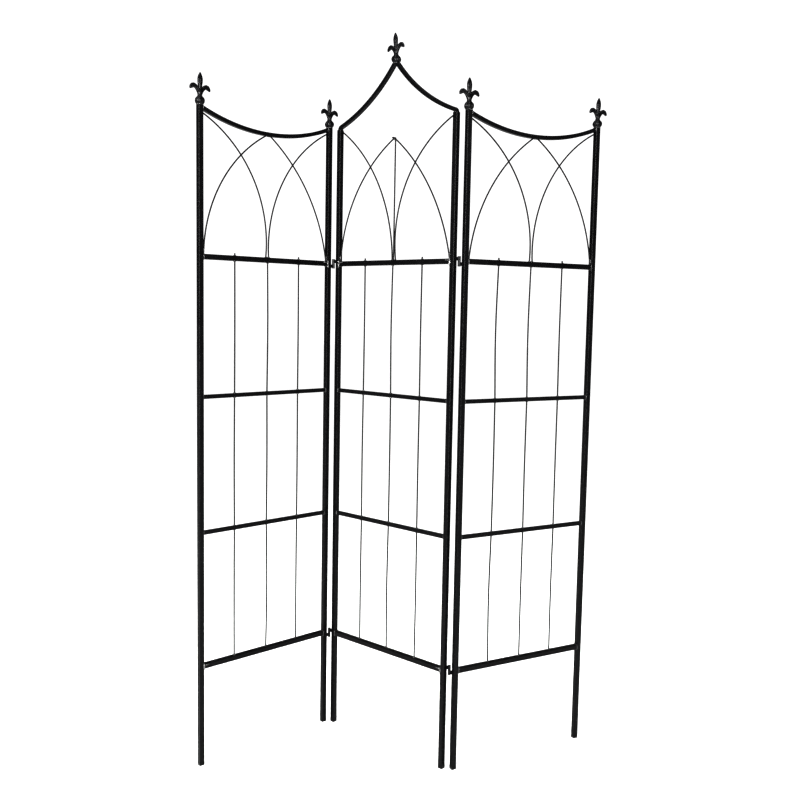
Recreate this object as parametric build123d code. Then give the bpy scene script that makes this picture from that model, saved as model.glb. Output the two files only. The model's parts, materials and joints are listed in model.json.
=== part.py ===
from build123d import *
from math import atan2, copysign, cos, degrees, hypot, radians, sin, tan
import os

# Three-panel folding garden trellis in black painted steel, millimetres, +Z up.
# Each panel is drawn in its own frame: X runs along the panel from the centre of its
# left post, Y points to the back of the panel and Z rises from the floor.
# The panels then stand in a zigzag, and the origin is under the middle of the whole.

# Stance: direction of each panel seen from above, degrees from the X axis
centre_heading = -42.0
left_heading = 43.0
right_heading = 29.0

# Posts, square tube with rounded corners
post_pitch = 444.5
post_side = 15.0
post_wall = 1.2
post_corner = 2.0
outer_post_top = 1847.0
centre_post_top = 1840.5

# Push-in foot caps
cap_lip = 2.0
cap_plug = 14.0
cap_clearance = 0.2

# Rails: the lowest and highest are tube, the two between are solid bar
bottom_rail_z = 291.0
lower_rail_z = 676.5
upper_rail_z = 1059.0
arch_rail_z = 1443.5
tube_rail_side = 15.0
tube_rail_wall = 1.2
tube_rail_corner = 2.0
bar_side = 11.1
bar_chamfer = 0.7

# Lattice wires, three to a panel, each a little bowed between its rails
wire_diameter = 4.2
hole_clearance = 0.4
wire_stub = 7.0
span_bend_share = 0.45
rail_bend_share = 0.05
wire_names = ("left_wire", "middle_wire", "right_wire")
# Sideways bow of each span in millimetres: low, middle and high span of each wire
wire_bows = {
    "left": ((-0.6, -1.0, 0.6), (3.5, 1.5, 2.5), (-0.8, 0.6, 0.8)),
    "centre": ((-1.0, -1.4, 0.8), (-3.0, 0.6, -3.5), (0.8, -0.8, -1.0)),
    "right": ((-4.0, 1.2, -5.5), (-1.0, -1.2, -4.5), (-1.5, -0.6, -1.5)),
}

# Sagging top bar of an outer panel: its centre line at the middle of a post, and its sag
top_bar_end_z = 1842.5
top_bar_sag = 45.0

# Ogee bars of the centre panel: a stub in the post, a tight bend, then one long curve
ogee_stub = 30.0
ogee_bend_radius = 9.0
ogee_slope = 20.6
ogee_peak_z = 2008.0
seat_below_peak = 5.0

# Gothic arch wires: two lie in front of the mid plane and two behind it
wire_gap = 0.1
outer_drop_z = 1831.5
centre_drop_z = 1840.0
outer_drop_foot = 5.7
centre_drop_feet = (5.0, 9.1)
apex_z = 1795.3
apex_overshoot = 11.0
apex_tip_slope = 8.0
# Bow of the left and the right arch wire in millimetres, bent by hand and never quite alike
lancet_bows = {"left": (57.0, 43.0), "centre": (52.0, 38.5), "right": (47.0, 48.0)}
drop_bows = {"left": (73.0, 68.0), "centre": (57.0, 76.0), "right": (71.0, 69.0)}

# Fleur-de-lis finials, heights above the seat
finial_height = 85.0
finial_depth = 10.0
finial_tip_depth = 4.0
ball_radius = 13.5
ball_height = 20.5
collar_radius = 8.0
neck_radius = 6.5
neck_z = 24.5
petal_reach = 31.5
petal_blunt = 2.5
petal_tip_z = 36.6
petal_crown_x = 20.0
petal_crown_z = 54.2
petal_drop_x = 15.0
petal_drop_z = 39.0
notch_x = 6.2
notch_z = 47.4
spear_half = 8.2
spear_wide_z = 66.4
flower_bow = 2.4
finial_spigot = 14.0
spigot_clearance = 0.2

# Hinges: two knuckles on one pin, each knuckle with a leaf welded to a post face
pin_diameter = 4.5
pin_clearance = 0.05
knuckle_diameter = 8.5
knuckle_length = 14.0
knuckle_gap = 0.3
leaf_thickness = 2.5
leaf_height = 10.0
leaf_lap = 9.0
pin_beyond_post = 4.4

post_half = post_side / 2
post_bore = post_side - 2 * post_wall
mid_x = post_pitch / 2
clear_width = post_pitch - post_side
wire_radius = wire_diameter / 2
wire_plane = wire_radius + wire_gap / 2
arch_foot_z = arch_rail_z + tube_rail_side / 2
bottom_rail_top_z = bottom_rail_z + tube_rail_side / 2
peak_seat_z = ogee_peak_z - seat_below_peak
pin_along = post_half + pin_beyond_post
pin_across = post_half + knuckle_diameter / 2
trim_depth = 4 * post_side


def square_tube(side, wall, corner, length):
    """Square tube on the XY plane, rising by length."""
    profile = RectangleRounded(side, side, corner) - Rectangle(side - 2 * wall, side - 2 * wall)
    return extrude(profile, length)


def post(top_z):
    """One upright, standing on the lip of its foot cap."""
    return Pos(0, 0, cap_lip) * square_tube(post_side, post_wall, post_corner, top_z - cap_lip)


def foot_cap():
    """Plastic cap: a lip as wide as the post and a plug inside it."""
    lip = extrude(RectangleRounded(post_side, post_side, post_corner), cap_lip)
    plug_side = post_bore - 2 * cap_clearance
    return lip + extrude(Rectangle(plug_side, plug_side), cap_lip + cap_plug)


def wire_x(index):
    """Place of a lattice wire: they divide the panel in equal bays."""
    return post_pitch * (index + 1) / (len(wire_names) + 1)


def wire_holes(indices, side, z):
    """Upright drillings for the named wires through a rail at height z."""
    drill = Cylinder(wire_radius + hole_clearance, 2 * side)
    return [Pos(wire_x(i), 0, z) * drill for i in indices]


def along_panel(shape, z):
    """Lay something extruded on XY along the panel, from post face to post face."""
    return Pos(post_half, 0, z) * Rot(0, 90, 0) * shape


def bar_section():
    """Square bar with broken edges."""
    square = Rectangle(bar_side, bar_side)
    return chamfer(square.vertices(), bar_chamfer)


def tube_rail(z, drilled=()):
    rail = along_panel(square_tube(tube_rail_side, tube_rail_wall, tube_rail_corner, clear_width), z)
    for hole in wire_holes(drilled, tube_rail_side, z):
        rail -= hole
    return rail


def bar_rail(z):
    rail = along_panel(extrude(bar_section(), clear_width), z)
    for hole in wire_holes(range(len(wire_names)), bar_side, z):
        rail -= hole
    return rail


def swept(path, profile):
    """Sweep a profile, drawn about the origin, along a path in the plane of the panel."""
    start = Plane(path @ 0, x_dir=(0, 1, 0), z_dir=path % 0)
    return sweep(start * profile, path)


def panel_wire(path, y=0.0):
    """Round wire along a path drawn at Y = 0, moved to its own plane, its seam on the inner side."""
    return Pos(0, y, 0) * swept(path, Rot(0, 0, 90) * Circle(wire_radius))


def lattice_wire(index, bows):
    """One upright wire: the outer two pass through the arch rail, the middle one stops under it."""
    x = wire_x(index)
    heights = (bottom_rail_z, lower_rail_z, upper_rail_z, arch_rail_z)
    points = [(x, heights[0])]
    for low, high, bow in zip(heights, heights[1:], bows):
        points.append((x + bow, (low + high) / 2))
        points.append((x, high))
    if index == len(wire_names) // 2:
        end_z = arch_rail_z - tube_rail_side / 2
    else:
        end_z = arch_foot_z + wire_stub
        points.append((x, end_z))
    with BuildLine(Plane.XZ) as path:
        FilletPolyline(*points, radius=easy_radii(points))
    trim = Box(post_side, post_side, end_z - bottom_rail_top_z)
    return panel_wire(path.wire()) & Pos(x, 0, (bottom_rail_top_z + end_z) / 2) * trim


def easy_radii(points):
    """Bend radii of a wire path: wide at the middle of each span, tight where a rail holds it."""
    radii = []
    for before, corner, after in zip(points, points[1:], points[2:]):
        run_in = Vector(corner[0] - before[0], corner[1] - before[1])
        run_out = Vector(after[0] - corner[0], after[1] - corner[1])
        half_turn = radians(run_in.get_angle(run_out)) / 2
        share = rail_bend_share if len(radii) % 2 else span_bend_share
        radii.append(share * min(run_in.length, run_out.length) / tan(half_turn))
    return radii


def bulging_arc(start, end, bow):
    """Arc between two (x, z) points of the panel, swelling by bow to the left of its run."""
    run = Vector(end[0] - start[0], 0, end[1] - start[1])
    left = Vector(-run.Z, 0, run.X).normalized()
    start_point = Vector(start[0], 0, start[1])
    return ThreePointArc(start_point, start_point + run / 2 + left * bow, start_point + run)


def mirrored(shape):
    """The same thing on the other side of the panel's middle."""
    return mirror(shape, Plane.YZ.offset(mid_x))


def arch_window():
    """Solid that fills the opening between the posts above the arch rail."""
    height = top_bar_end_z + post_side - arch_foot_z
    return Pos(mid_x, 0, arch_foot_z + height / 2) * Box(clear_width, trim_depth, height)


def top_bar():
    """Sagging square bar of an outer panel: the part of a large ring that lies between the posts."""
    radius = (mid_x ** 2 + top_bar_sag ** 2) / (2 * top_bar_sag)
    lowest = Vector(mid_x, 0, top_bar_end_z - top_bar_sag)
    section = Pos(lowest) * (Plane.YZ * bar_section())
    ring = revolve(section, Axis(lowest + Vector(0, 0, radius), (0, 1, 0)))
    return ring & arch_window()


def ogee_bar():
    """Left ogee bar: a stub down the post, a bend, and a long curve to the middle."""
    bend_turn = 90 - ogee_slope
    bend_x = ogee_bend_radius * (1 - cos(radians(bend_turn)))
    bend_z = centre_post_top + ogee_bend_radius * sin(radians(bend_turn))
    run = hypot(mid_x - bend_x, ogee_peak_z - bend_z)
    steepening = degrees(atan2(ogee_peak_z - bend_z, mid_x - bend_x)) - ogee_slope
    radius = run / (2 * sin(radians(steepening)))
    past_middle = degrees(bar_side / radius)
    with BuildLine(Plane.XZ) as path:
        stub = Line((0, centre_post_top - ogee_stub), (0, centre_post_top))
        bend = JernArc(stub @ 1, (0, 1), ogee_bend_radius, -bend_turn)
        uphill = (cos(radians(ogee_slope)), sin(radians(ogee_slope)))
        JernArc((bend_x, bend_z), uphill, radius, 2 * steepening + past_middle)
    bar = swept(path.wire(), bar_section())
    keep_height = peak_seat_z - centre_post_top + 2 * ogee_stub
    keep = Box(mid_x + post_side, trim_depth, keep_height)
    return bar & Pos((mid_x - post_side) / 2, 0, peak_seat_z - keep_height / 2) * keep


def lancet_wire(peak_z, bow, overshoot=0.0):
    """Wire that rises from the foot of the left post and leans over to the panel's middle."""
    foot_x = post_half + wire_radius + wire_gap
    arc = bulging_arc((foot_x, arch_rail_z), (mid_x, peak_z), bow)
    if not overshoot:
        return panel_wire(arc, -wire_plane) & arch_window()
    rise = arc % 1
    with BuildLine(Plane.XZ) as path:
        add(arc)
        level = degrees(atan2(rise.Z, rise.X)) - apex_tip_slope
        bend = JernArc((mid_x, peak_z), (rise.X, rise.Z), overshoot / 2, -level)
        Line(bend @ 1, bend @ 1 + (bend % 1) * overshoot / 2)
    return panel_wire(path.wire(), -wire_plane) & arch_window()


def drop_wire(corner_z, foot, bow):
    """Wire from the left upper corner down to the middle of the arch rail."""
    arc = bulging_arc((0, corner_z), (mid_x - foot, arch_rail_z), bow)
    return panel_wire(arc, wire_plane) & arch_window()


def apex_wire():
    """Short upright behind the lancet's peak in the centre panel."""
    length = apex_z + wire_radius - arch_foot_z
    return Pos(mid_x, wire_plane, arch_foot_z + length / 2) * Cylinder(wire_radius, length)


def revolved_base():
    """Ball and neck of a finial, standing on Z = 0."""
    edges = [
        Line((0, 0, 0), (collar_radius, 0, 0)),
        ThreePointArc((collar_radius, 0, 0), (ball_radius, 0, ball_height / 2),
                      (neck_radius, 0, ball_height)),
        Line((neck_radius, 0, ball_height), (neck_radius, 0, neck_z)),
        Line((neck_radius, 0, neck_z), (0, 0, neck_z)),
        Line((0, 0, neck_z), (0, 0, 0)),
    ]
    return revolve(make_face(Wire(edges)), Axis.Z)


def fleur_outline():
    """Right half of the flower, from the neck round the petal and up the spear."""
    waist = (neck_radius, 0, ball_height)
    drop = (petal_drop_x, 0, petal_drop_z)
    barb = (petal_reach - petal_blunt, 0, petal_tip_z)
    tip = (petal_reach, 0, petal_tip_z + petal_blunt)
    crown = (petal_crown_x, 0, petal_crown_z)
    notch = (notch_x, 0, notch_z)
    wide = (spear_half, 0, spear_wide_z)
    point = (0, 0, finial_height)
    return [
        Line((0, 0, ball_height), waist),
        ThreePointArc(waist, between(waist, drop, -flower_bow), drop),
        ThreePointArc(drop, between(drop, barb, flower_bow), barb),
        ThreePointArc(barb, between(barb, tip, -flower_bow / 4), tip),
        ThreePointArc(tip, between(tip, crown, -flower_bow), crown),
        ThreePointArc(crown, between(crown, notch, -flower_bow / 2), notch),
        ThreePointArc(notch, between(notch, wide, -flower_bow / 4), wide),
        ThreePointArc(wide, between(wide, point, -flower_bow), point),
        Line(point, (0, 0, ball_height)),
    ]


def between(start, end, bow):
    """Middle of a chord in the XZ plane, moved by bow to the left of its run."""
    run = Vector(*end) - Vector(*start)
    return Vector(*start) + run / 2 + Vector(-run.Z, 0, run.X).normalized() * bow


def finial():
    """Cast finial standing on Z = 0: ball, neck, two drooping petals and a spear."""
    half = extrude(make_face(Wire(fleur_outline())), finial_depth, both=True)
    flower = half + mirror(half, Plane.YZ)
    deep = finial_depth / 2
    thin = finial_tip_depth / 2
    plan = Polygon((0, deep), (-petal_reach, thin), (-petal_reach, -thin),
                   (0, -deep), (petal_reach, -thin), (petal_reach, thin), align=None)
    side = Polygon((-deep, 0), (deep, 0), (deep, spear_wide_z), (thin, finial_height),
                   (-thin, finial_height), (-deep, spear_wide_z), align=None)
    flower &= extrude(plan, finial_height)
    flower &= extrude(Plane.YZ * side, petal_reach, both=True)
    return revolved_base() + flower


def post_finial():
    """Finial with the square spigot that drops into an open post."""
    side = post_bore - 2 * spigot_clearance
    return finial() + Pos(0, 0, -finial_spigot / 2) * Box(side, side, finial_spigot)


def knuckle(pin_x, pin_y, low_z, bore, to_post):
    """Hinge knuckle on the pin and its leaf, lapped onto the face of the post beside it."""
    leaf_y = pin_y + copysign(knuckle_diameter / 2 - leaf_thickness / 2, -pin_y)
    leaf = Box(leaf_lap + pin_beyond_post, leaf_thickness, leaf_height)
    leaf_x = pin_x + copysign((leaf_lap + pin_beyond_post) / 2, to_post)
    solid = Pos(pin_x, pin_y, low_z + knuckle_length / 2) * Cylinder(knuckle_diameter / 2, knuckle_length)
    solid += Pos(leaf_x, leaf_y, low_z + knuckle_length / 2) * leaf
    return solid - Pos(pin_x, pin_y, low_z) * Cylinder(bore / 2, 3 * knuckle_length)


def hinge_heights():
    return (bottom_rail_z, arch_rail_z)


def upper_knuckles(pin_x, pin_y, to_post):
    """Knuckles of the centre panel, tight on their pins."""
    return Compound([
        knuckle(pin_x, pin_y, z + knuckle_gap / 2, pin_diameter, to_post) for z in hinge_heights()
    ])


def lower_knuckles(pin_x, pin_y, to_post):
    """Knuckles of an outer panel, free to turn on the pins."""
    bore = pin_diameter + 2 * pin_clearance
    low = knuckle_length + knuckle_gap / 2
    return Compound([knuckle(pin_x, pin_y, z - low, bore, to_post) for z in hinge_heights()])


def hinge_pins(pin_x, pin_y):
    """Upright pins that fill both knuckles of each hinge."""
    length = 2 * knuckle_length + knuckle_gap
    return Compound([
        Pos(pin_x, pin_y, z) * Cylinder(pin_diameter / 2, length) for z in hinge_heights()
    ])


def shared_pieces(side, post_top):
    """What every panel has: posts, foot caps, rails and lattice wires."""
    outer_wires = [i for i in range(len(wire_names)) if i != len(wire_names) // 2]
    pieces = {
        "left_post": post(post_top),
        "right_post": Pos(post_pitch, 0, 0) * post(post_top),
        "foot_caps": Compound([foot_cap(), Pos(post_pitch, 0, 0) * foot_cap()]),
        "bottom_rail": tube_rail(bottom_rail_z),
        "lower_rail": bar_rail(lower_rail_z),
        "upper_rail": bar_rail(upper_rail_z),
        "arch_rail": tube_rail(arch_rail_z, outer_wires),
    }
    for index, name in enumerate(wire_names):
        pieces[name] = lattice_wire(index, wire_bows[side][index])
    return pieces


def outer_panel(side):
    """A side panel: sagging top bar, four arch wires and two finials."""
    pieces = shared_pieces(side, outer_post_top)
    bar = top_bar()
    peak_z = top_bar_end_z - top_bar_sag
    left_lancet, right_lancet = [lancet_wire(peak_z, bow) - bar for bow in lancet_bows[side]]
    left_drop, right_drop = [drop_wire(outer_drop_z, outer_drop_foot, bow) for bow in drop_bows[side]]
    pieces["top_bar"] = bar
    pieces["left_lancet_wire"] = left_lancet
    pieces["right_lancet_wire"] = mirrored(right_lancet)
    pieces["left_drop_wire"] = left_drop
    pieces["right_drop_wire"] = mirrored(right_drop)
    for name, x in (("left_finial", 0), ("right_finial", post_pitch)):
        pieces[name] = Pos(x, 0, outer_post_top) * post_finial()
    return pieces


def centre_panel():
    """The middle panel: two ogee bars meeting under one finial, and an open lancet."""
    pieces = shared_pieces("centre", centre_post_top)
    ogee = ogee_bar()
    left_bow, right_bow = lancet_bows["centre"]
    right_lancet = mirrored(lancet_wire(apex_z, right_bow, apex_overshoot))
    left_drop, right_drop = [
        drop_wire(centre_drop_z, foot, bow) for foot, bow in zip(centre_drop_feet, drop_bows["centre"])
    ]
    pieces["left_ogee_bar"] = ogee
    pieces["right_ogee_bar"] = mirrored(ogee)
    pieces["left_lancet_wire"] = lancet_wire(apex_z, left_bow) - right_lancet
    pieces["right_lancet_wire"] = right_lancet
    pieces["left_drop_wire"] = left_drop
    pieces["right_drop_wire"] = mirrored(right_drop)
    pieces["apex_wire"] = apex_wire()
    pieces["peak_finial"] = Pos(mid_x, 0, peak_seat_z) * finial()
    return pieces


# Hinge pins lie before the centre panel on its left and behind it on its right, so the
# panels close like a zigzag
left_pin = (-pin_along, -pin_across)
right_pin = (post_pitch + pin_along, pin_across)
left_panel_pin = (post_pitch + pin_along, -pin_across)
right_panel_pin = (-pin_along, pin_across)

centre_place = Rot(0, 0, centre_heading)
left_place = (centre_place * Pos(*left_pin, 0) * Rot(0, 0, left_heading - centre_heading)
              * Pos(-left_panel_pin[0], -left_panel_pin[1], 0))
right_place = (centre_place * Pos(*right_pin, 0) * Rot(0, 0, right_heading - centre_heading)
               * Pos(-right_panel_pin[0], -right_panel_pin[1], 0))

left_pieces = outer_panel("left")
left_pieces["hinge_lower_knuckles"] = lower_knuckles(*left_panel_pin, -1)
right_pieces = outer_panel("right")
right_pieces["hinge_lower_knuckles"] = lower_knuckles(*right_panel_pin, 1)
centre_pieces = centre_panel()
centre_pieces["left_hinge_upper_knuckles"] = upper_knuckles(*left_pin, 1)
centre_pieces["right_hinge_upper_knuckles"] = upper_knuckles(*right_pin, -1)
centre_pieces["left_hinge_pins"] = hinge_pins(*left_pin)
centre_pieces["right_hinge_pins"] = hinge_pins(*right_pin)

nodes = {}
for panel, place, pieces in (
    ("left_panel", left_place, left_pieces),
    ("centre_panel", centre_place, centre_pieces),
    ("right_panel", right_place, right_pieces),
):
    for name, piece in pieces.items():
        nodes[f"{panel}_{name}"] = place * piece

whole = Compound(list(nodes.values())).bounding_box()
to_origin = Pos(-whole.center().X, -whole.center().Y, -whole.min.Z)
nodes = {name: to_origin * piece for name, piece in nodes.items()}

os.makedirs("parts", exist_ok=True)
for name, piece in nodes.items():
    export_step(piece, f"parts/{name}.step")

for side, pin in (("left", left_pin), ("right", right_pin)):
    axis = to_origin * centre_place * Pos(*pin, 0)
    print(side, "hinge axis passes", round(axis.position.X, 4), round(axis.position.Y, 4))
print("box", [round(v, 3) for v in whole.size])
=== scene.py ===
import json
import math
import random

import bmesh
import bpy
from mathutils import Matrix, Vector


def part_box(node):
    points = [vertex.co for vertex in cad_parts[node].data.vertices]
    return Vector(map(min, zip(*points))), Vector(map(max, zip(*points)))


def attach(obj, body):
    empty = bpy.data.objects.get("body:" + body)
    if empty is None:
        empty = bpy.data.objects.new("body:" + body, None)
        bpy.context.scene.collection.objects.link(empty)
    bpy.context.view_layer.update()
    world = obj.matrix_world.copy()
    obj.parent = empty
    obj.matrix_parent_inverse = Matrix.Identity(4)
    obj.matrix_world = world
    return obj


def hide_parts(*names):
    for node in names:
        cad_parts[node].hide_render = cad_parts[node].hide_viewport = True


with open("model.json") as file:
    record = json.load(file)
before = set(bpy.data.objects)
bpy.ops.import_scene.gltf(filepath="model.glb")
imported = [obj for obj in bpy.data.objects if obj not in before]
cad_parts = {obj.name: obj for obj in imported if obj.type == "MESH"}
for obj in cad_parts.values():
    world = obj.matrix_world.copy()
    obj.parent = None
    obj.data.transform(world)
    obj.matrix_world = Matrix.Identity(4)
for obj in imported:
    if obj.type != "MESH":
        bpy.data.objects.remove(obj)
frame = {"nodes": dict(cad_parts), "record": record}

# Looks of the folding garden trellis. Metres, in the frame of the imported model.

MM = 0.001
ALONG = Vector((1, 0, 0))
CROSS = Vector((0, 1, 0))
UP = Vector((0, 0, 1))

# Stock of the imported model
POST_HALF = 7.5 * MM
TUBE_HALF = 7.5 * MM
BAR_HALF = 5.55 * MM
WIRE_RADIUS = 2.1 * MM
WIRE_PLANE = 2.15 * MM
WIRE_COUNT = 3
RAILS = (
    ("bottom_rail", TUBE_HALF),
    ("lower_rail", BAR_HALF),
    ("upper_rail", BAR_HALF),
    ("arch_rail", TUBE_HALF),
)

# Castings: the top of a finial's box above its seat, and the shape of the skin
FINIAL_BOX_TOP = 85.0 * MM
FINIAL_VOXEL = 0.75 * MM
BALL_LOBES = 6
BALL_LOBE_DEPTH = 0.06
PETAL_GROOVE = 0.42
GROOVE_WIDTH = 0.36
SPEAR_EDGE = 1.25
PETAL_EDGE = 0.9

# Lean of each casting in the plane of its panel, degrees towards the right
FINIAL_LEAN = {
    "left_panel_left_finial": 1.0,
    "left_panel_right_finial": 0.0,
    "centre_panel_peak_finial": -4.0,
    "right_panel_left_finial": 0.0,
    "right_panel_right_finial": 2.5,
}

# Weld beads: thickness, distance from the corner they cover, and how lumpy they are
FINE_BEAD = 1.3 * MM
SEAM_BEAD = 1.5 * MM
HEAVY_BEAD = 1.7 * MM
BEAD_STANDOFF = 0.4 * MM
COLLAR_STANDOFF = 0.5 * MM
COLLAR_GROWTH = 0.6 * MM
CORNER_REACH = 1.25
LUMP_STEP = 1.9
LUMP_WAVE = 0.16
LUMP_CHANCE = 0.12
TIP_SHARE = 0.08
FOOT_SEAM = 16 * MM
TOP_SEAM_HALF = 9 * MM
DROP_FOOT = 4.6 * MM
DROP_RING = WIRE_RADIUS + 0.5 * MM
PEAK_RING = 8.2 * MM
PEAK_BEAD = 1.6 * MM
OGEE_FOOT_RING = 5.6 * MM
OGEE_FOOT_BEAD = 1.4 * MM
APEX_RING = WIRE_RADIUS + 1.4 * MM
APEX_DROP = 6 * MM
POST_TOP_RING = 8.0 * MM
TOP_BAR_DROP = 6.5 * MM
TOP_SEAM_BEAD = 1.6 * MM

# Joints where the photograph shows a thick run of weld, and the side of the panel they are on
THICK_WELDS = {
    "left_panel": (("bottom_rail", "left"), ("arch_rail", "right")),
    "centre_panel": (("arch_rail", "left"), ("bottom_rail", "right"), ("arch_rail", "right")),
}
POST_RUN_BELOW = 13 * MM
POST_RUN_ABOVE = 10 * MM
POST_RUN_BEAD = 2.4 * MM
RAIL_RUN = 17 * MM
RAIL_RUN_BEAD = 1.8 * MM

# Camera, as fitted to the photograph
IMAGE_SIDE = 800
FOCAL_PIXELS = 947.0
SENSOR_WIDTH = 36.0
CAMERA_PLACE = (-0.0134, -2.7537, 1.315)
CAMERA_YAW = -0.157
CAMERA_PITCH = 5.573
CAMERA_ROLL = 1.063

# Light, floor and view
SUN_STRENGTH = 4.3
SUN_SPREAD = 70
SUN_TILT = (18, -12)
BACKDROP_STRENGTH = 1.2
ROOM_STRENGTH = 0.1
FLOOR_HALF = 30
VIEW_GAMMA = 0.75

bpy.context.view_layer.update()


def box_centre(node):
    low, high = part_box(node)
    return (Vector(low) + Vector(high)) / 2


class Panel:
    """One panel's own frame: x along it from its left post, y to its back, z up."""

    def __init__(self, name):
        self.name = name
        left = box_centre(f"{name}_left_post")
        right = box_centre(f"{name}_right_post")
        left.z = right.z = 0
        self.pitch = (right - left).length
        self.middle = self.pitch / 2
        along = (right - left).normalized()
        back = Vector((-along.y, along.x, 0))
        turn = Matrix((along, back, UP)).transposed()
        self.matrix = Matrix.Translation(left) @ turn.to_4x4()

    def z(self, piece):
        """Middle height of one of the panel's pieces."""
        return box_centre(f"{self.name}_{piece}").z

    def top(self, piece):
        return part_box(f"{self.name}_{piece}")[1][2]

    def wire_x(self, index):
        return self.pitch * (index + 1) / (WIRE_COUNT + 1)


panels = {name: Panel(name) for name in ("left_panel", "centre_panel", "right_panel")}


def node_graph(name):
    """New node material with its shader and a coordinate node."""
    material = bpy.data.materials.new(name)
    material.use_nodes = True
    nodes = material.node_tree.nodes
    shader = nodes["Principled BSDF"]
    coordinates = nodes.new("ShaderNodeTexCoord")
    return material, nodes, material.node_tree.links, shader, coordinates.outputs["Object"]


def noise(nodes, links, place, scale, detail=4.0, roughness=0.6):
    texture = nodes.new("ShaderNodeTexNoise")
    texture.inputs["Scale"].default_value = scale
    texture.inputs["Detail"].default_value = detail
    texture.inputs["Roughness"].default_value = roughness
    links.new(place, texture.inputs["Vector"])
    return texture.outputs["Fac"]


def ramp(nodes, links, value, stops):
    """Colour ramp through (position, colour) stops."""
    node = nodes.new("ShaderNodeValToRGB")
    elements = node.color_ramp.elements
    while len(elements) < len(stops):
        elements.new(0.5)
    for element, (position, colour) in zip(elements, stops):
        element.position = position
        element.color = (*colour, 1)
    links.new(value, node.inputs["Fac"])
    return node.outputs["Color"]


def mixed(nodes, links, factor, first, second):
    node = nodes.new("ShaderNodeMix")
    node.data_type = "RGBA"
    links.new(factor, node.inputs["Factor"])
    links.new(first, node.inputs["A"])
    links.new(second, node.inputs["B"])
    return node.outputs["Result"]


def grey(level):
    return (level, level, level)


def bumps(nodes, links, shader, layers):
    """Chain of bump nodes from (height, distance, strength) layers."""
    normal = None
    for height, distance, strength in layers:
        node = nodes.new("ShaderNodeBump")
        node.inputs["Distance"].default_value = distance
        node.inputs["Strength"].default_value = strength
        links.new(height, node.inputs["Height"])
        if normal:
            links.new(normal, node.inputs["Normal"])
        normal = node.outputs["Normal"]
    links.new(normal, shader.inputs["Normal"])


def black_paint(name, tint, gloss, shine, peel_scale, peel_depth, chip_share):
    """Brushed black enamel: orange peel, uneven gloss, dust on top faces and a few worn specks."""
    material, nodes, links, shader, place = node_graph(name)
    cloud = noise(nodes, links, place, scale=14.0)
    dark = [c * 0.6 for c in tint]
    light = [c * 1.5 for c in tint]
    colour = ramp(nodes, links, cloud, [(0.3, dark), (0.75, light)])
    geometry = nodes.new("ShaderNodeNewGeometry")
    upward = nodes.new("ShaderNodeSeparateXYZ")
    links.new(geometry.outputs["Normal"], upward.inputs["Vector"])
    dust_noise = noise(nodes, links, place, scale=60.0)
    dust = nodes.new("ShaderNodeMath")
    dust.operation = "MULTIPLY"
    links.new(upward.outputs["Z"], dust.inputs[0])
    links.new(dust_noise, dust.inputs[1])
    dust_share = dust.outputs["Value"]
    dust_mask = ramp(nodes, links, dust_share, [(0.35, grey(0.0)), (0.9, grey(0.05))])
    dust_stops = [(0.2, (0.16, 0.15, 0.135)), (0.8, (0.24, 0.23, 0.21))]
    dust_colour = ramp(nodes, links, dust_noise, dust_stops)
    dusty = mixed(nodes, links, dust_mask, colour, dust_colour)
    speck = noise(nodes, links, place, scale=190.0, detail=6.0)
    edge = 1 - chip_share
    chips = ramp(nodes, links, speck, [(edge, grey(0.0)), (edge + 0.02, grey(1.0))])
    primer_stops = [(0.3, (0.07, 0.066, 0.06)), (0.7, (0.12, 0.11, 0.10))]
    primer = ramp(nodes, links, cloud, primer_stops)
    links.new(mixed(nodes, links, chips, dusty, primer), shader.inputs["Base Color"])
    gloss_noise = noise(nodes, links, place, scale=38.0, detail=5.0)
    rough_stops = [(0.25, grey(gloss - 0.07)), (0.8, grey(gloss + 0.12))]
    rough = ramp(nodes, links, gloss_noise, rough_stops)
    links.new(rough, shader.inputs["Roughness"])
    peel = noise(nodes, links, place, scale=peel_scale, detail=2.0)
    runs = noise(nodes, links, place, scale=55.0, detail=3.0)
    layers = [(runs, 0.0004, 0.25), (peel, peel_depth, 0.4), (chips, 0.0001, 0.4)]
    bumps(nodes, links, shader, layers)
    shader.inputs["Specular IOR Level"].default_value = shine
    return material


def weld_paint(name, bare_from):
    """Painted weld with bright patches where the paint missed the metal."""
    material, nodes, links, shader, place = node_graph(name)
    patch = noise(nodes, links, place, scale=130.0, detail=5.0)
    mask_stops = [(bare_from, grey(0.0)), (bare_from + 0.08, grey(1.0))]
    mask = ramp(nodes, links, patch, mask_stops)
    paint = ramp(nodes, links, patch, [(0.2, grey(0.004)), (0.6, grey(0.012))])
    metal_stops = [(bare_from, grey(0.12)), (0.7, (0.36, 0.355, 0.345))]
    metal = ramp(nodes, links, patch, metal_stops)
    links.new(mixed(nodes, links, mask, paint, metal), shader.inputs["Base Color"])
    links.new(mask, shader.inputs["Metallic"])
    rough_noise = noise(nodes, links, place, scale=260.0)
    rough = ramp(nodes, links, rough_noise, [(0.3, grey(0.2)), (0.7, grey(0.42))])
    links.new(rough, shader.inputs["Roughness"])
    ripple = noise(nodes, links, place, scale=500.0, detail=3.0)
    bumps(nodes, links, shader, [(patch, 0.0008, 0.6), (ripple, 0.0003, 0.5)])
    return material


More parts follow.
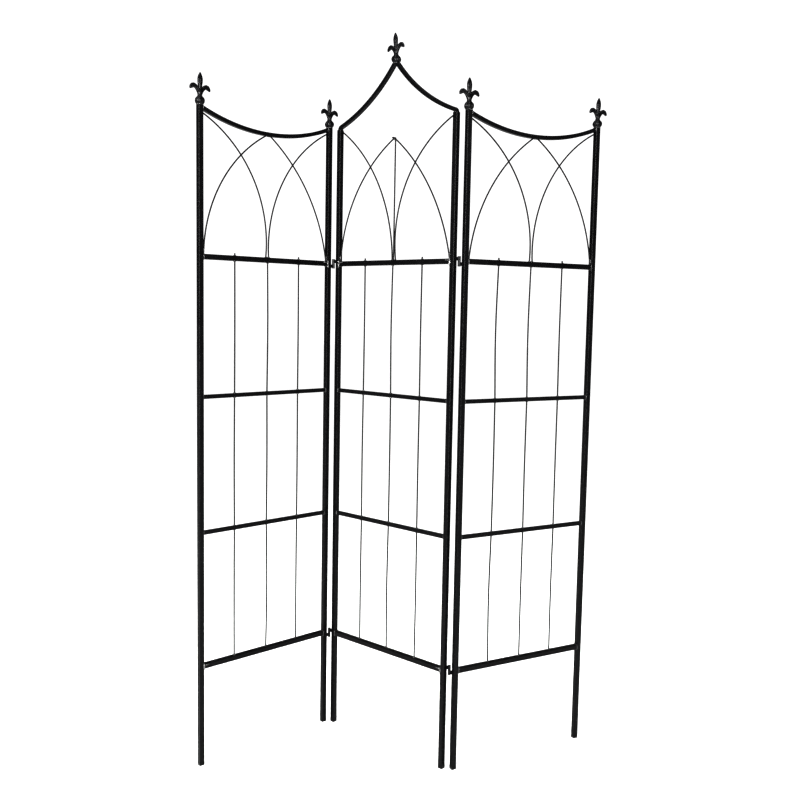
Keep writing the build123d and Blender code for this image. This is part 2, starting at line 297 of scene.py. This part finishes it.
def worn_steel(name):
    """Pin steel with rubbed paint: patches worn down to the metal."""
    material, nodes, links, shader, place = node_graph(name)
    wear = noise(nodes, links, place, scale=160.0, detail=5.0)
    mask = ramp(nodes, links, wear, [(0.5, grey(0.0)), (0.6, grey(1.0))])
    paint = ramp(nodes, links, wear, [(0.2, grey(0.008)), (0.5, grey(0.022))])
    steel = ramp(nodes, links, wear, [(0.5, grey(0.25)), (0.8, grey(0.5))])
    links.new(mixed(nodes, links, mask, paint, steel), shader.inputs["Base Color"])
    links.new(mask, shader.inputs["Metallic"])
    rough = ramp(nodes, links, wear, [(0.3, grey(0.45)), (0.7, grey(0.25))])
    links.new(rough, shader.inputs["Roughness"])
    bumps(nodes, links, shader, [(wear, 0.0003, 0.5)])
    return material


def moulded_plastic(name):
    """Matte black foot cap with a sandy moulding texture and scuffs."""
    material, nodes, links, shader, place = node_graph(name)
    scuff = noise(nodes, links, place, scale=90.0, detail=6.0)
    colour = ramp(nodes, links, scuff, [(0.35, grey(0.012)), (0.8, grey(0.055))])
    links.new(colour, shader.inputs["Base Color"])
    rough = ramp(nodes, links, scuff, [(0.3, grey(0.55)), (0.8, grey(0.8))])
    links.new(rough, shader.inputs["Roughness"])
    grain = noise(nodes, links, place, scale=1800.0, detail=2.0)
    bumps(nodes, links, shader, [(scuff, 0.0002, 0.4), (grain, 0.0001, 0.6)])
    return material


def studio_floor(name):
    """Plain pale floor with a faint mottle."""
    material, nodes, links, shader, place = node_graph(name)
    soft = noise(nodes, links, place, scale=1.5, detail=3.0)
    colour = ramp(nodes, links, soft, [(0.3, grey(0.86)), (0.7, grey(0.88))])
    links.new(colour, shader.inputs["Base Color"])
    fine = noise(nodes, links, place, scale=220.0)
    rough = ramp(nodes, links, fine, [(0.3, grey(0.7)), (0.7, grey(0.8))])
    links.new(rough, shader.inputs["Roughness"])
    bumps(nodes, links, shader, [(fine, 0.0002, 0.1)])
    return material


frame_paint = black_paint(
    "frame_enamel", tint=(0.002, 0.002, 0.0022), gloss=0.26, shine=0.08,
    peel_scale=420.0, peel_depth=0.00012, chip_share=0.24,
)
wire_paint = black_paint(
    "wire_enamel", tint=(0.002, 0.002, 0.0022), gloss=0.3, shine=0.1,
    peel_scale=600.0, peel_depth=0.00008, chip_share=0.22,
)
cast_paint = black_paint(
    "casting_enamel", tint=(0.002, 0.002, 0.0023), gloss=0.22, shine=0.12,
    peel_scale=300.0, peel_depth=0.0003, chip_share=0.25,
)
weld_finish = weld_paint("weld_enamel", bare_from=0.6)
bare_weld_finish = weld_paint("bare_weld_enamel", bare_from=0.47)
pin_finish = worn_steel("pin_steel")
cap_finish = moulded_plastic("cap_plastic")

finish_of = {
    "frame_paint": frame_paint,
    "wire_paint": wire_paint,
    "cast_paint": cast_paint,
    "hinge_paint": cast_paint,
    "pin_steel": pin_finish,
    "foot_plastic": cap_finish,
}

for part in frame["record"]["subparts"]:
    for material_slot in frame["nodes"][part["node"]].material_slots:
        material_slot.material = finish_of[part["material_slot"]]


def smooth_mesh(bm, name):
    bmesh.ops.recalc_face_normals(bm, faces=bm.faces)
    for face in bm.faces:
        face.smooth = True
    data = bpy.data.meshes.new(name)
    bm.to_mesh(data)
    bm.free()
    return data


def skin_rings(bm, rings, closed=False):
    """Faces between rings of points, with flat ends unless the run is closed."""
    loops = [[bm.verts.new(point) for point in ring] for ring in rings]
    pairs = list(zip(loops, loops[1:]))
    if closed:
        pairs.append((loops[-1], loops[0]))
    for near, far in pairs:
        for i in range(len(near)):
            j = (i + 1) % len(near)
            bm.faces.new((near[i], near[j], far[j], far[i]))
    if not closed:
        bm.faces.new(loops[0])
        bm.faces.new(loops[-1])


def lathe_ring(radius, z, lobe, steps=48):
    ring = []
    for i in range(steps):
        angle = 2 * math.pi * i / steps
        r = radius * (1 + lobe * math.cos(BALL_LOBES * angle))
        ring.append(Vector((r * math.cos(angle), r * math.sin(angle), z)))
    return ring


def ball_and_neck(bm):
    """Lobed ball and the neck above it, as (radius mm, height mm, share of the lobes)."""
    profile = [
        (8.0, 0.0, 0.0), (10.2, 1.4, 0.2), (12.4, 4.0, 0.7), (13.5, 7.6, 1.0), (13.7, 10.6, 1.0),
        (12.9, 14.2, 1.0), (10.6, 17.6, 0.7), (7.6, 20.5, 0.2), (6.5, 22.8, 0.0), (6.3, 26.0, 0.0),
        (6.6, 31.0, 0.0), (6.0, 37.0, 0.0), (3.0, 41.0, 0.0),
    ]
    rings = [lathe_ring(r * MM, z * MM, BALL_LOBE_DEPTH * share) for r, z, share in profile]
    skin_rings(bm, rings)


def oval_ring(centre, across, half_across, half_deep, edge, groove, steps=32):
    """Section of a petal or spear. Edge shapes its two edges, groove sinks its broad faces."""
    ring = []
    for i in range(steps):
        angle = 2 * math.pi * i / steps
        side = math.cos(angle)
        deep = math.sin(angle)
        side_out = math.copysign(abs(side) ** edge, side)
        hollow = 1 - groove * math.exp(-(side / GROOVE_WIDTH) ** 2)
        sunk = Vector((0, half_deep * deep * hollow, 0))
        ring.append(centre + across * half_across * side_out + sunk)
    return ring


def spear(bm):
    """Middle spear, as (height, half width, half depth) in mm."""
    sections = [
        (27.0, 4.6, 4.8), (36.0, 5.0, 5.0), (45.0, 5.9, 5.1), (52.0, 6.9, 5.2), (59.0, 7.9, 5.2),
        (66.4, 8.3, 4.9), (73.0, 7.0, 4.2), (78.5, 4.7, 3.2), (82.5, 2.4, 2.0), (84.6, 0.8, 0.8),
    ]
    rings = []
    for z, half, deep in sections:
        centre = Vector((0, 0, z * MM))
        rings.append(oval_ring(centre, ALONG, half * MM, deep * MM, SPEAR_EDGE, 0.0))
    skin_rings(bm, rings)


def petal(bm, side):
    """Petal that rises out of the neck, curls over and ends in a blunt point.

    Sections are (way out, height, half width, half depth) in mm and the share of the groove.
    """
    sections = [
        (1.6, 25.0, 4.6, 4.4, 0.0), (4.6, 33.0, 4.9, 4.8, 0.5), (8.6, 40.2, 5.3, 4.9, 1.0),
        (13.6, 45.4, 5.9, 4.8, 1.0), (18.8, 47.4, 6.6, 4.5, 1.0), (23.4, 46.0, 6.7, 4.0, 1.0),
        (27.0, 42.9, 5.5, 3.3, 0.9), (29.3, 39.6, 3.6, 2.6, 0.6), (30.4, 37.2, 1.6, 1.7, 0.0),
    ]
    centres = [Vector((side * x * MM, 0, z * MM)) for x, z, *_ in sections]
    rings = []
    for i, (_, _, half, deep, groove) in enumerate(sections):
        run = centres[min(i + 1, len(centres) - 1)] - centres[max(i - 1, 0)]
        across = Vector((-run.z, 0, run.x)).normalized()
        sunk = PETAL_GROOVE * groove
        rings.append(oval_ring(centres[i], across, half * MM, deep * MM, PETAL_EDGE, sunk))
    skin_rings(bm, rings)


def finial_mesh():
    """One casting: ball, neck, two petals and spear melted into a single skin."""
    bm = bmesh.new()
    ball_and_neck(bm)
    spear(bm)
    petal(bm, 1)
    petal(bm, -1)
    rough = bpy.data.objects.new("finial_rough", smooth_mesh(bm, "finial_rough"))
    bpy.context.scene.collection.objects.link(rough)
    remesh = rough.modifiers.new("melt", "REMESH")
    remesh.mode = "VOXEL"
    remesh.voxel_size = FINIAL_VOXEL
    ease = rough.modifiers.new("ease", "SMOOTH")
    ease.factor = 0.5
    ease.iterations = 3
    graph = bpy.context.evaluated_depsgraph_get()
    cast = bpy.data.meshes.new_from_object(rough.evaluated_get(graph))
    cast.name = "finial_casting"
    for face in cast.polygons:
        face.use_smooth = True
    bpy.data.objects.remove(rough)
    cast.materials.clear()
    cast.materials.append(cast_paint)
    return cast


def add_finials():
    casting = finial_mesh()
    for node, lean in FINIAL_LEAN.items():
        panel = panels["_".join(node.split("_")[:2])]
        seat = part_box(node)[1][2] - FINIAL_BOX_TOP
        centre = box_centre(node)
        place = Matrix.Translation((centre.x, centre.y, seat))
        turn = panel.matrix.to_3x3().to_4x4() @ Matrix.Rotation(math.radians(lean), 4, "Y")
        piece = bpy.data.objects.new(f"{node}_casting", casting)
        bpy.context.scene.collection.objects.link(piece)
        piece.matrix_world = place @ turn
        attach(piece, panel.name)
        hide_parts(node)


add_finials()


class Welds:
    """All the weld beads of one panel, gathered in one mesh."""

    def __init__(self, panel, seed):
        self.panel = panel
        self.bm = bmesh.new()
        self.random = random.Random(seed)

    def bead(self, points, normal, radius, closed=True, sides=7):
        """Lumpy bead along points of the panel's frame that lie square to normal."""
        rings = []
        count = len(points)
        phase = self.random.uniform(0, 6)
        for i, point in enumerate(points):
            before = points[i - 1] if closed or i else point
            after = points[(i + 1) % count] if closed or i < count - 1 else point
            out = (after - before).normalized().cross(normal)
            pulse = math.sin(phase + i * LUMP_STEP)
            chance = self.random.uniform(-LUMP_CHANCE, LUMP_CHANCE)
            lump = radius * (1 + LUMP_WAVE * pulse + chance)
            if not closed:
                lump *= math.sqrt(max(TIP_SHARE, math.sin(math.pi * (i + 0.5) / count)))
            ring = []
            for j in range(sides):
                angle = 2 * math.pi * j / sides
                sideways = out * lump * math.cos(angle)
                ring.append(point + sideways + normal * lump * math.sin(angle))
            rings.append([self.panel.matrix @ p for p in ring])
        skin_rings(self.bm, rings, closed)

    def round_frame(self, x, z, half, radius):
        """Bead round the end of a square rail where it meets a post."""
        points = []
        steps = 7
        for corner in range(4):
            for i in range(steps):
                t = (i / steps - 0.5) * math.pi / 2 + corner * math.pi / 2
                reach = (half + 0.1 * MM) / max(abs(math.cos(t)), abs(math.sin(t)))
                reach = min(reach, half * CORNER_REACH)
                points.append(Vector((x, reach * math.cos(t), z + reach * math.sin(t))))
        self.bead(points, ALONG, radius)

    def collar(self, x, y, z, ring_radius, radius, steps=12):
        """Level bead round a point, such as an upright wire or the top of a post."""
        points = []
        for i in range(steps):
            angle = 2 * math.pi * i / steps
            across = ring_radius * math.cos(angle)
            deep = ring_radius * math.sin(angle)
            points.append(Vector((x + across, y + deep, z)))
        self.bead(points, UP, radius)

    def seam(self, start, end, normal, radius, steps=9):
        """Straight bead from start to end."""
        points = [start.lerp(end, i / (steps - 1)) for i in range(steps)]
        self.bead(points, normal, radius, closed=False)

    def finish(self, kind, material):
        """Object of all the beads, riding on the panel's body."""
        name = f"{self.panel.name}_{kind}"
        data = smooth_mesh(self.bm, name)
        data.materials.append(material)
        piece = bpy.data.objects.new(name, data)
        bpy.context.scene.collection.objects.link(piece)
        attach(piece, self.panel.name)


def weld_lattice(welds, panel):
    """Beads at the ends of the rails and where wires pass through them."""
    ring = WIRE_RADIUS + COLLAR_GROWTH
    for rail, half in RAILS:
        z = panel.z(rail)
        for x in (POST_HALF + BEAD_STANDOFF, panel.pitch - POST_HALF - BEAD_STANDOFF):
            welds.round_frame(x, z, half, FINE_BEAD)
        for index in range(WIRE_COUNT):
            x = panel.wire_x(index)
            if rail != "bottom_rail":
                welds.collar(x, 0, z - half - COLLAR_STANDOFF, ring, FINE_BEAD)
            if rail != "arch_rail" or index != WIRE_COUNT // 2:
                welds.collar(x, 0, z + half + COLLAR_STANDOFF, ring, FINE_BEAD)


def weld_arches(welds, panel):
    """Beads at the feet of the arch wires, on top of the arch rail."""
    foot_z = panel.z("arch_rail") + TUBE_HALF
    wire_off = POST_HALF + WIRE_RADIUS
    for x in (wire_off, panel.pitch - wire_off):
        start = Vector((x, -WIRE_PLANE - WIRE_RADIUS * 0.7, foot_z + 1 * MM))
        welds.seam(start, start + Vector((0, 0, FOOT_SEAM)), CROSS, SEAM_BEAD)
    for side in (-1, 1):
        x = panel.middle + side * DROP_FOOT
        welds.collar(x, WIRE_PLANE, foot_z + 0.6 * MM, DROP_RING, SEAM_BEAD)


def weld_ogee(welds, panel):
    """Beads at the centre panel's peak, post tops and free apex."""
    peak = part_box("centre_panel_peak_finial")[1][2] - FINIAL_BOX_TOP
    welds.collar(panel.middle, 0, peak - 0.5 * MM, PEAK_RING, PEAK_BEAD, steps=20)
    post_top = panel.top("left_post")
    for x in (0, panel.pitch):
        welds.collar(x, 0, post_top + 0.2 * MM, OGEE_FOOT_RING, OGEE_FOOT_BEAD, steps=18)
    apex = panel.top("apex_wire")
    welds.collar(panel.middle, 0, apex - APEX_DROP, APEX_RING, HEAVY_BEAD)


def weld_top_bar(welds, panel):
    """Beads at an outer panel's post tops and at both ends and the middle of its top bar."""
    post_top = panel.top("left_post")
    bar_z = post_top - TOP_BAR_DROP
    for x, side in ((0, 1), (panel.pitch, -1)):
        welds.collar(x, 0, post_top + 0.3 * MM, POST_TOP_RING, HEAVY_BEAD, steps=20)
        welds.round_frame(x + side * (POST_HALF + BEAD_STANDOFF), bar_z, BAR_HALF, SEAM_BEAD)
    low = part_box(f"{panel.name}_top_bar")[0][2]
    start = Vector((panel.middle - TOP_SEAM_HALF, -WIRE_PLANE, low - 0.6 * MM))
    end = start + Vector((2 * TOP_SEAM_HALF, 0, 0))
    welds.seam(start, end, CROSS, TOP_SEAM_BEAD, steps=13)


def add_welds(panel, seed):
    welds = Welds(panel, seed)
    weld_lattice(welds, panel)
    weld_arches(welds, panel)
    if panel.name == "centre_panel":
        weld_ogee(welds, panel)
    else:
        weld_top_bar(welds, panel)
    welds.finish("welds", weld_finish)


def add_thick_welds(panel, seed):
    """Runs down the post and a short way along the rail, on the front of a joint."""
    welds = Welds(panel, seed)
    front = -POST_HALF - 0.3 * MM
    for rail, side in THICK_WELDS[panel.name]:
        z = panel.z(rail)
        inward = 1 if side == "left" else -1
        x = POST_HALF if side == "left" else panel.pitch - POST_HALF
        corner = Vector((x - inward * 1.5 * MM, front, z))
        below = corner - UP * POST_RUN_BELOW
        above = corner + UP * POST_RUN_ABOVE
        welds.seam(below, above, CROSS, POST_RUN_BEAD, steps=13)
        start = corner + Vector((0, 0.2 * MM, 3 * MM))
        end = start + Vector((inward * RAIL_RUN, 0, 1 * MM))
        welds.seam(start, end, CROSS, RAIL_RUN_BEAD, steps=11)
    welds.finish("bare_welds", bare_weld_finish)


for seed, panel in enumerate(panels.values(), 3):
    add_welds(panel, seed)
    if panel.name in THICK_WELDS:
        add_thick_welds(panel, seed + 10)


def add_camera():
    camera = bpy.data.cameras.new("camera")
    camera.sensor_width = SENSOR_WIDTH
    camera.lens = FOCAL_PIXELS * SENSOR_WIDTH / IMAGE_SIDE
    camera.clip_start = 0.05
    camera.clip_end = 60
    holder = bpy.data.objects.new("camera", camera)
    bpy.context.scene.collection.objects.link(holder)
    yaw = Matrix.Rotation(math.radians(CAMERA_YAW), 4, "Z")
    pitch = Matrix.Rotation(math.radians(90 - CAMERA_PITCH), 4, "X")
    roll = Matrix.Rotation(math.radians(CAMERA_ROLL), 4, "Z")
    holder.matrix_world = Matrix.Translation(CAMERA_PLACE) @ yaw @ pitch @ roll
    bpy.context.scene.camera = holder


def add_floor():
    bm = bmesh.new()
    bmesh.ops.create_grid(bm, x_segments=8, y_segments=8, size=FLOOR_HALF)
    data = smooth_mesh(bm, "studio_floor")
    data.materials.append(studio_floor("studio_floor"))
    floor = bpy.data.objects.new("studio_floor", data)
    bpy.context.scene.collection.objects.link(floor)


def add_light(name, place, target, size, power):
    lamp = bpy.data.lights.new(name, "AREA")
    lamp.shape = "RECTANGLE"
    lamp.size, lamp.size_y = size
    lamp.energy = power
    holder = bpy.data.objects.new(name, lamp)
    bpy.context.scene.collection.objects.link(holder)
    aim = (Vector(target) - Vector(place)).to_track_quat("-Z", "Y").to_matrix().to_4x4()
    holder.matrix_world = Matrix.Translation(place) @ aim


def add_daylight():
    """Broad soft light from overhead that keeps the whole floor white."""
    lamp = bpy.data.lights.new("overhead", "SUN")
    lamp.energy = SUN_STRENGTH
    lamp.angle = math.radians(SUN_SPREAD)
    holder = bpy.data.objects.new("overhead", lamp)
    bpy.context.scene.collection.objects.link(holder)
    about_x, about_y = (math.radians(angle) for angle in SUN_TILT)
    holder.matrix_world = Matrix.Rotation(about_y, 4, "Y") @ Matrix.Rotation(about_x, 4, "X")


def add_world():
    """White backdrop for the camera in a dim room, so that black paint stays black."""
    world = bpy.data.worlds.new("studio")
    world.use_nodes = True
    nodes = world.node_tree.nodes
    links = world.node_tree.links
    backdrop = nodes["Background"]
    backdrop.inputs["Color"].default_value = (1, 1, 1, 1)
    backdrop.inputs["Strength"].default_value = BACKDROP_STRENGTH
    room = nodes.new("ShaderNodeBackground")
    room.inputs["Color"].default_value = (1, 1, 1, 1)
    room.inputs["Strength"].default_value = ROOM_STRENGTH
    rays = nodes.new("ShaderNodeLightPath")
    choice = nodes.new("ShaderNodeMixShader")
    links.new(rays.outputs["Is Camera Ray"], choice.inputs["Fac"])
    links.new(room.outputs["Background"], choice.inputs[1])
    links.new(backdrop.outputs["Background"], choice.inputs[2])
    links.new(choice.outputs["Shader"], nodes["World Output"].inputs["Surface"])
    bpy.context.scene.world = world


add_camera()
add_floor()
add_daylight()
add_light(
    "front_strip", place=(-0.35, -3.2, 1.5), target=(0, 0, 1.1), size=(0.35, 2.6), power=330,
)
add_light(
    "left_strip", place=(-2.6, -1.9, 2.3), target=(-0.1, 0, 1.3), size=(0.5, 1.6), power=150,
)
add_light(
    "right_strip", place=(2.4, -2.6, 2.2), target=(0.1, 0, 1.2), size=(0.4, 1.6), power=90,
)
add_world()
bpy.context.scene.view_settings.view_transform = "Standard"
bpy.context.scene.view_settings.gamma = VIEW_GAMMA
